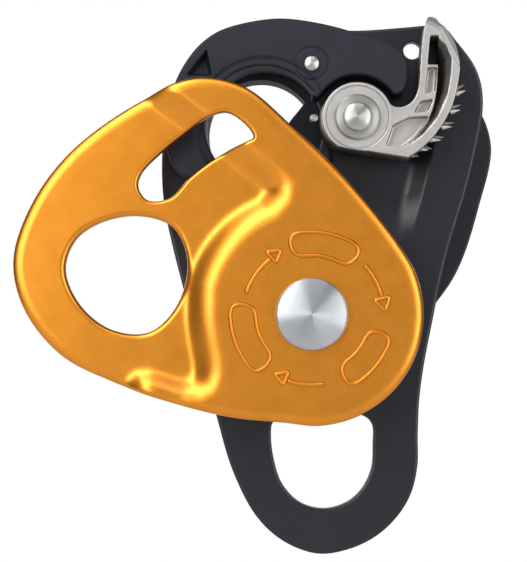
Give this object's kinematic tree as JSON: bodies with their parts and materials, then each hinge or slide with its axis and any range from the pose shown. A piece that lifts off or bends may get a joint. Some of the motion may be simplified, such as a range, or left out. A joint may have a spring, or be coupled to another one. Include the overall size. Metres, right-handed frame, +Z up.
{
  "type": "rope pulley",
  "caption": "Double rope pulley with swinging side plates, parallel sheaves on ball bearings, a toothed rope-holding cam and a lower attachment hole.",
  "frame": {"origin": "centre of the connection hole, in the middle of the middle plate", "axes": "+Z up along the plate, from the lower hole to the connection hole; +Y from the cam side to the back; +X to the right seen from the cam side"},
  "size_m": [0.1137, 0.0462, 0.1269],
  "materials": {
    "gold_anodised": "satin gold anodised",
    "black_anodised": "satin black anodised",
    "moulded_nylon": "matte moulded",
    "turned_steel": "turned stainless steel",
    "cast_steel": "blasted cast steel",
    "bearing_steel": "ground and polished",
    "sheave_aluminium": "turned, clear anodised",
    "seal_rubber": "matte",
    "washer_nylon": "natural nylon",
    "spring_steel": "drawn wire"
  },
  "bodies": {
    "frame": {"middle_plate": "black_anodised", "front_insert": "moulded_nylon", "back_insert": "moulded_nylon", "insert_rivet": "turned_steel", "main_axle": "turned_steel", "axle_back_washer": "turned_steel", "cam_axle": "turned_steel", "cam_washer": "turned_steel", "cam_spring": "spring_steel", "cam_stop_pin": "cast_steel", "front_inner_spacer": "turned_steel", "front_outer_spacer": "turned_steel", "front_flange_washer": "washer_nylon", "front_bearing_inner_ring": "bearing_steel", "back_inner_spacer": "turned_steel", "back_outer_spacer": "turned_steel", "back_flange_washer": "washer_nylon", "back_bearing_inner_ring": "bearing_steel"},
    "front_flange": {"front_flange": "gold_anodised"},
    "back_flange": {"back_flange": "black_anodised"},
    "cam": {"cam": "cast_steel", "cam_cover_disc": "turned_steel", "cam_bush": "bearing_steel"},
    "front_sheave": {"front_sheave": "sheave_aluminium", "front_bearing_outer_ring": "bearing_steel", "front_bearing_seals": "seal_rubber"},
    "front_ball_set": {"front_bearing_balls": "bearing_steel", "front_bearing_cage": "spring_steel"},
    "back_sheave": {"back_sheave": "sheave_aluminium", "back_bearing_outer_ring": "bearing_steel", "back_bearing_seals": "seal_rubber"},
    "back_ball_set": {"back_bearing_balls": "bearing_steel", "back_bearing_cage": "spring_steel"}
  },
  "joints": [
    {"name": "front_flange_swing", "type": "hinge", "parent": "frame", "child": "front_flange", "pos_m": [0.0112, 0, -0.0444], "axis": [0, 1, 0], "range_deg": [-90, 63.4]},
    {"name": "back_flange_swing", "type": "hinge", "parent": "frame", "child": "back_flange", "pos_m": [0.0112, 0, -0.0444], "axis": [0, 1, 0], "range_deg": [-150, 0]},
    {"name": "cam_pivot", "type": "hinge", "parent": "frame", "child": "cam", "pos_m": [0.02184, 0, 0.00134], "axis": [0, 1, 0], "range_deg": [0, 80]},
    {"name": "front_sheave_spin", "type": "hinge", "parent": "frame", "child": "front_sheave", "pos_m": [0.0112, 0, -0.0444], "axis": [0, 1, 0], "continuous": true},
    {"name": "front_ball_spin", "type": "hinge", "parent": "frame", "child": "front_ball_set", "pos_m": [0.0112, 0, -0.0444], "axis": [0, 1, 0], "continuous": true},
    {"name": "back_sheave_spin", "type": "hinge", "parent": "frame", "child": "back_sheave", "pos_m": [0.0112, 0, -0.0444], "axis": [0, 1, 0], "continuous": true},
    {"name": "back_ball_spin", "type": "hinge", "parent": "frame", "child": "back_ball_set", "pos_m": [0.0112, 0, -0.0444], "axis": [0, 1, 0], "continuous": true}
  ],
  "couplings": [
    {"joint": "front_ball_spin", "follows": "front_sheave_spin", "ratio": 0.625},
    {"joint": "back_ball_spin", "follows": "back_sheave_spin", "ratio": 0.625}
  ]
}
